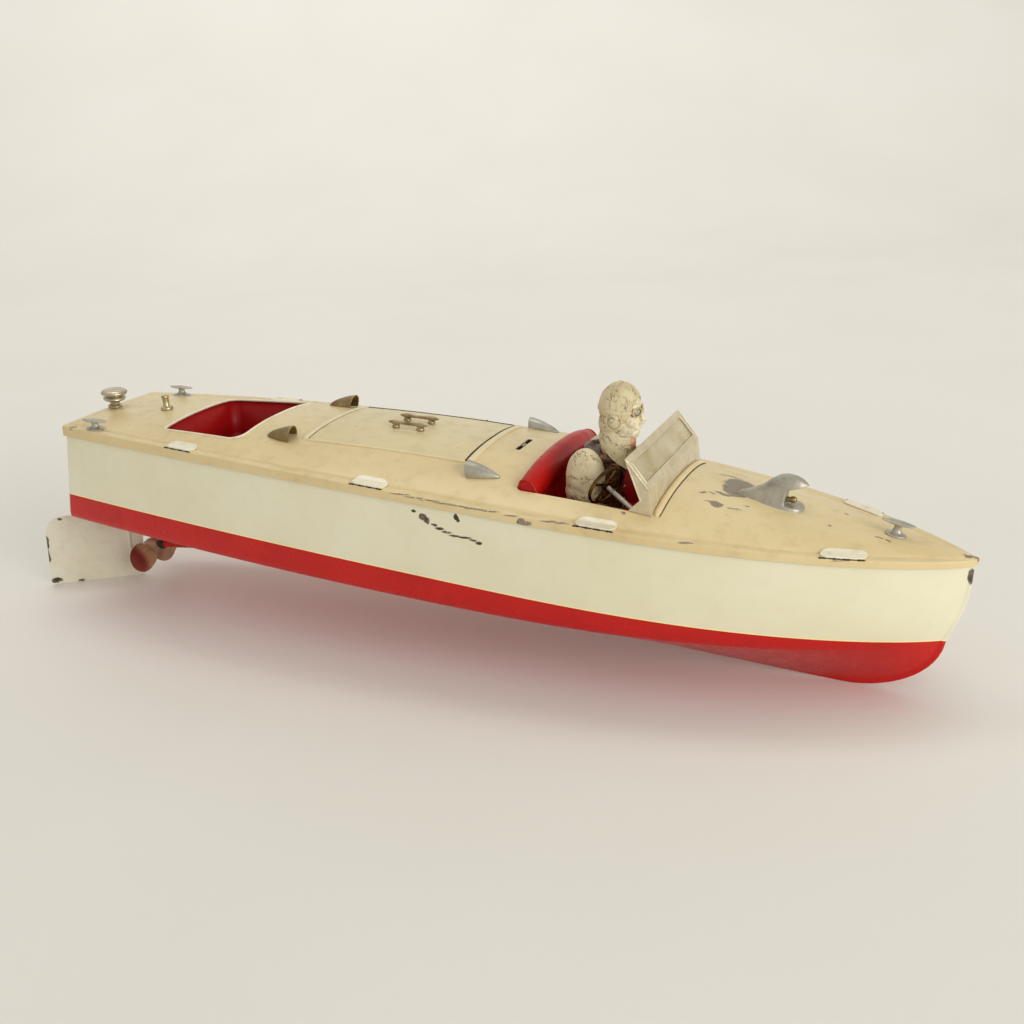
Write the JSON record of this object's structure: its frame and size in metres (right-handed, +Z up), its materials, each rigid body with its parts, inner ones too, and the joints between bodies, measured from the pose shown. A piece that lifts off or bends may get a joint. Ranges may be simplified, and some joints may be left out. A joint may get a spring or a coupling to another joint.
{
  "type": "toy boat",
  "caption": "Vintage tinplate clockwork toy speedboat with driver, windshield, lift-off motor hatch, adjustable rudder and a screw driven by a spring motor.",
  "frame": {"origin": "floor level under the middle of the bounding box", "axes": "+X to the bow, +Y to port, +Z up; the boat rests on its forefoot and rudder, so its deck is pitched 4.2 degrees nose down"},
  "size_m": [0.4714, 0.11, 0.1294],
  "materials": {
    "hull_cream": "glossy aged enamel",
    "deck_tan": "aged satin enamel",
    "lacquer_red": "glossy enamel",
    "nickel": "dull nickel plate",
    "steel": "plain rolled",
    "brass": "satin",
    "figure": "painted composition, flaking",
    "celluloid": "clear, yellowed",
    "dark_brass": "darkened"
  },
  "bodies": {
    "boat": {"hull": "hull_cream", "deck": "deck_tan", "rear_well": "lacquer_red", "cockpit_tub": "lacquer_red", "vent_aft_port": "nickel", "vent_aft_starboard": "nickel", "vent_fore_port": "nickel", "vent_fore_starboard": "nickel", "stern_cleat_port": "nickel", "stern_cleat_starboard": "nickel", "bow_cleat": "nickel", "bow_light": "nickel", "flag_socket": "nickel", "windshield_frame": "nickel", "windshield_pane": "celluloid", "cowl_bead": "deck_tan", "seat_back": "lacquer_red", "seat_base": "lacquer_red", "driver": "figure", "steering_column": "nickel", "rudder_tube": "brass", "stern_tube": "lacquer_red", "shaft_web": "lacquer_red", "motor_plate_lower": "steel", "motor_plate_upper": "steel", "motor_pillar_1": "brass", "motor_pillar_2": "brass", "motor_pillar_3": "brass", "motor_pillar_4": "brass", "mainspring": "steel", "shaft_bearing": "brass", "motor_bearer_aft": "steel", "motor_bearer_fore": "steel", "lever_screw": "steel"},
    "hatch": {"hatch_cover": "deck_tan", "hatch_handle_port": "nickel", "hatch_handle_starboard": "nickel"},
    "rudder": {"rudder_blade": "hull_cream", "rudder_stock": "steel", "rudder_knob": "nickel"},
    "screw": {"propeller": "hull_cream", "propeller_shaft": "steel", "shaft_pinion": "brass"},
    "third_arbor": {"contrate_wheel": "brass"},
    "second_arbor": {"second_wheel": "brass"},
    "great_wheel_body": {"great_wheel": "brass"},
    "winder": {"winding_arbor": "steel"},
    "click": {"ratchet_click": "steel"},
    "lever": {"stop_lever": "steel"},
    "steering": {"steering_wheel": "dark_brass"}
  },
  "joints": [
    {"name": "hatch_lift", "type": "slide", "parent": "boat", "child": "hatch", "axis": [0.0732, 0, 0.9973], "range_m": [0, 0.08]},
    {"name": "rudder_turn", "type": "hinge", "parent": "boat", "child": "rudder", "pos_m": [-0.19151, 0, 0.09708], "axis": [0.0732, 0, 0.9973], "range_deg": [-74, 6]},
    {"name": "propeller_spin", "type": "hinge", "parent": "boat", "child": "screw", "pos_m": [-0.18093, 0, 0.0213], "axis": [0.9959, 0, 0.0901], "continuous": true},
    {"name": "third_arbor_spin", "type": "hinge", "parent": "boat", "child": "third_arbor", "pos_m": [-0.02164, 0, 0.04073], "axis": [-0.0901, 0, 0.9959], "continuous": true},
    {"name": "second_arbor_spin", "type": "hinge", "parent": "boat", "child": "second_arbor", "pos_m": [-0.00966, 0, 0.04483], "axis": [-0.0901, 0, 0.9959], "continuous": true},
    {"name": "great_wheel_spin", "type": "hinge", "parent": "boat", "child": "great_wheel_body", "pos_m": [0.00929, 0, 0.04955], "axis": [-0.0901, 0, 0.9959], "continuous": true},
    {"name": "winding", "type": "hinge", "parent": "boat", "child": "winder", "pos_m": [0.00848, 0, 0.05852], "axis": [-0.0901, 0, 0.9959], "continuous": true},
    {"name": "click_pivot", "type": "hinge", "parent": "great_wheel_body", "child": "click", "pos_m": [0.01913, 0.0079, 0.05406], "axis": [-0.0901, 0, 0.9959], "range_deg": [0, 10], "stiffness_Nm_per_rad": 0.0002},
    {"name": "stop_lever_swing", "type": "hinge", "parent": "boat", "child": "lever", "pos_m": [0.02305, 0, 0.05843], "axis": [-0.0901, 0, 0.9959], "range_deg": [-9, 9]},
    {"name": "steering_spin", "type": "hinge", "parent": "boat", "child": "steering", "pos_m": [0.09372, -0.028, 0.08846], "axis": [-0.8141, 0.3844, 0.4352], "continuous": true}
  ],
  "couplings": [
    {"joint": "third_arbor_spin", "follows": "propeller_spin", "ratio": 0.2},
    {"joint": "second_arbor_spin", "follows": "propeller_spin", "ratio": -0.066667},
    {"joint": "great_wheel_spin", "follows": "propeller_spin", "ratio": 0.0125}
  ]
}
